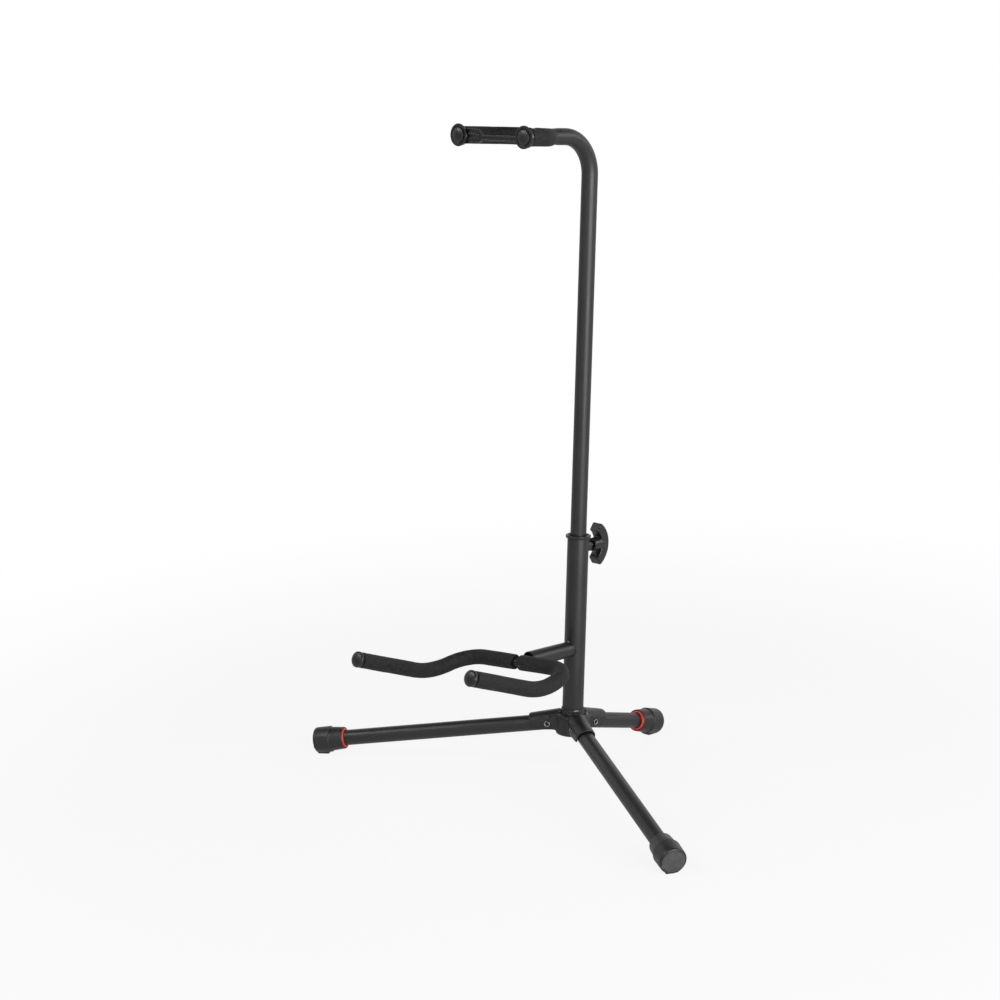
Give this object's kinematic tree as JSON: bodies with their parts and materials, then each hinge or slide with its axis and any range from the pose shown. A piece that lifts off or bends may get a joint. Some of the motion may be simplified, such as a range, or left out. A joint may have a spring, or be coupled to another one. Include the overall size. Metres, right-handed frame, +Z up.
{
  "type": "guitar stand",
  "caption": "Tubular tripod guitar stand with folding legs, a foam-covered body cradle, and a height-adjustable upright that ends in a padded neck cradle with a strap.",
  "frame": {"origin": "on the floor, below the centre of the bounding box", "axes": "+Z up, -Y the way both cradles face, +X to the right of the stand seen from behind, where the clamp knob is"},
  "size_m": [0.5876, 0.4184, 0.7764],
  "materials": {
    "painted_steel": "fine satin black powder coat on steel tube",
    "hub_plastic": "moulded satin black plastic",
    "soft_plastic": "moulded soft black plastic",
    "nylon": "plain dark nylon",
    "foot_rubber": "smooth black rubber",
    "strap_rubber": "satin black rubber",
    "red_rubber": "smooth red rubber",
    "zinc_steel": "bright zinc-plated steel",
    "foam": "closed-cell black foam sleeve, fine grain"
  },
  "bodies": {
    "base": {"base_hub": "hub_plastic", "base_collar": "soft_plastic", "lower_plug": "nylon", "hub_bolt": "zinc_steel", "hub_washer": "zinc_steel", "leg_rivet_front_left": "zinc_steel", "leg_rivet_front_right": "zinc_steel", "leg_rivet_rear": "zinc_steel", "lower_tube": "painted_steel", "top_bush": "soft_plastic", "clamp_nut": "painted_steel", "yoke_socket": "painted_steel", "yoke_bush": "nylon"},
    "leg_front_left": {"leg_tube_front_left": "painted_steel", "foot_front_left": "foot_rubber", "foot_ring_front_left": "red_rubber"},
    "leg_front_right": {"leg_tube_front_right": "painted_steel", "foot_front_right": "foot_rubber", "foot_ring_front_right": "red_rubber"},
    "leg_rear": {"leg_tube_rear": "painted_steel", "foot_rear": "foot_rubber", "foot_ring_rear": "red_rubber"},
    "slider": {"slide_bush": "nylon"},
    "upper": {"upper_tube": "painted_steel", "neck_fork": "painted_steel", "neck_foam_right": "foam", "neck_foam_left": "foam", "neck_button_right": "soft_plastic", "neck_button_left": "soft_plastic", "neck_strap": "strap_rubber"},
    "pad": {"clamp_pad": "nylon"},
    "knob": {"clamp_knob": "soft_plastic", "clamp_stud": "zinc_steel"},
    "yoke": {"yoke_rod": "painted_steel", "yoke_foam_right": "foam", "yoke_foam_left": "foam", "yoke_cap_right": "soft_plastic", "yoke_cap_left": "soft_plastic"}
  },
  "joints": [
    {"name": "front_left_leg_fold", "type": "hinge", "parent": "base", "child": "leg_front_left", "pos_m": [-0.02505, 0.03754, 0.05664], "axis": [0.4772, -0.875, 0.0816], "range_deg": [0, 79]},
    {"name": "front_right_leg_fold", "type": "hinge", "parent": "base", "child": "leg_front_right", "pos_m": [0.02505, 0.03754, 0.05664], "axis": [0.4772, 0.875, -0.0816], "range_deg": [0, 79]},
    {"name": "rear_leg_fold", "type": "hinge", "parent": "base", "child": "leg_rear", "pos_m": [0, 0.07938, 0.05196], "axis": [-1, 0, 0], "range_deg": [0, 78]},
    {"name": "height_slide", "type": "slide", "parent": "base", "child": "slider", "axis": [0, 0.0929, 0.9957], "range_m": [-0.075, 0.06]},
    {"name": "neck_swivel", "type": "hinge", "parent": "slider", "child": "upper", "pos_m": [0, 0.06116, 0.16339], "axis": [0, 0.0929, 0.9957], "range_deg": [-180, 180]},
    {"name": "pad_slide", "type": "slide", "parent": "base", "child": "pad", "axis": [0, 0.9957, -0.0929], "range_m": [0, 0.0015]},
    {"name": "knob_turn", "type": "hinge", "parent": "pad", "child": "knob", "pos_m": [0, 0.09446, 0.26955], "axis": [0, 0.9957, -0.0929], "range_deg": [0, 540]},
    {"name": "yoke_swivel", "type": "hinge", "parent": "base", "child": "yoke", "pos_m": [0, -0.02033, 0.15653], "axis": [0, -0.9957, 0.0929], "range_deg": [-90, 90]}
  ],
  "couplings": [
    {"joint": "knob_turn", "follows": "pad_slide", "rad_per_m": 6283.2}
  ]
}
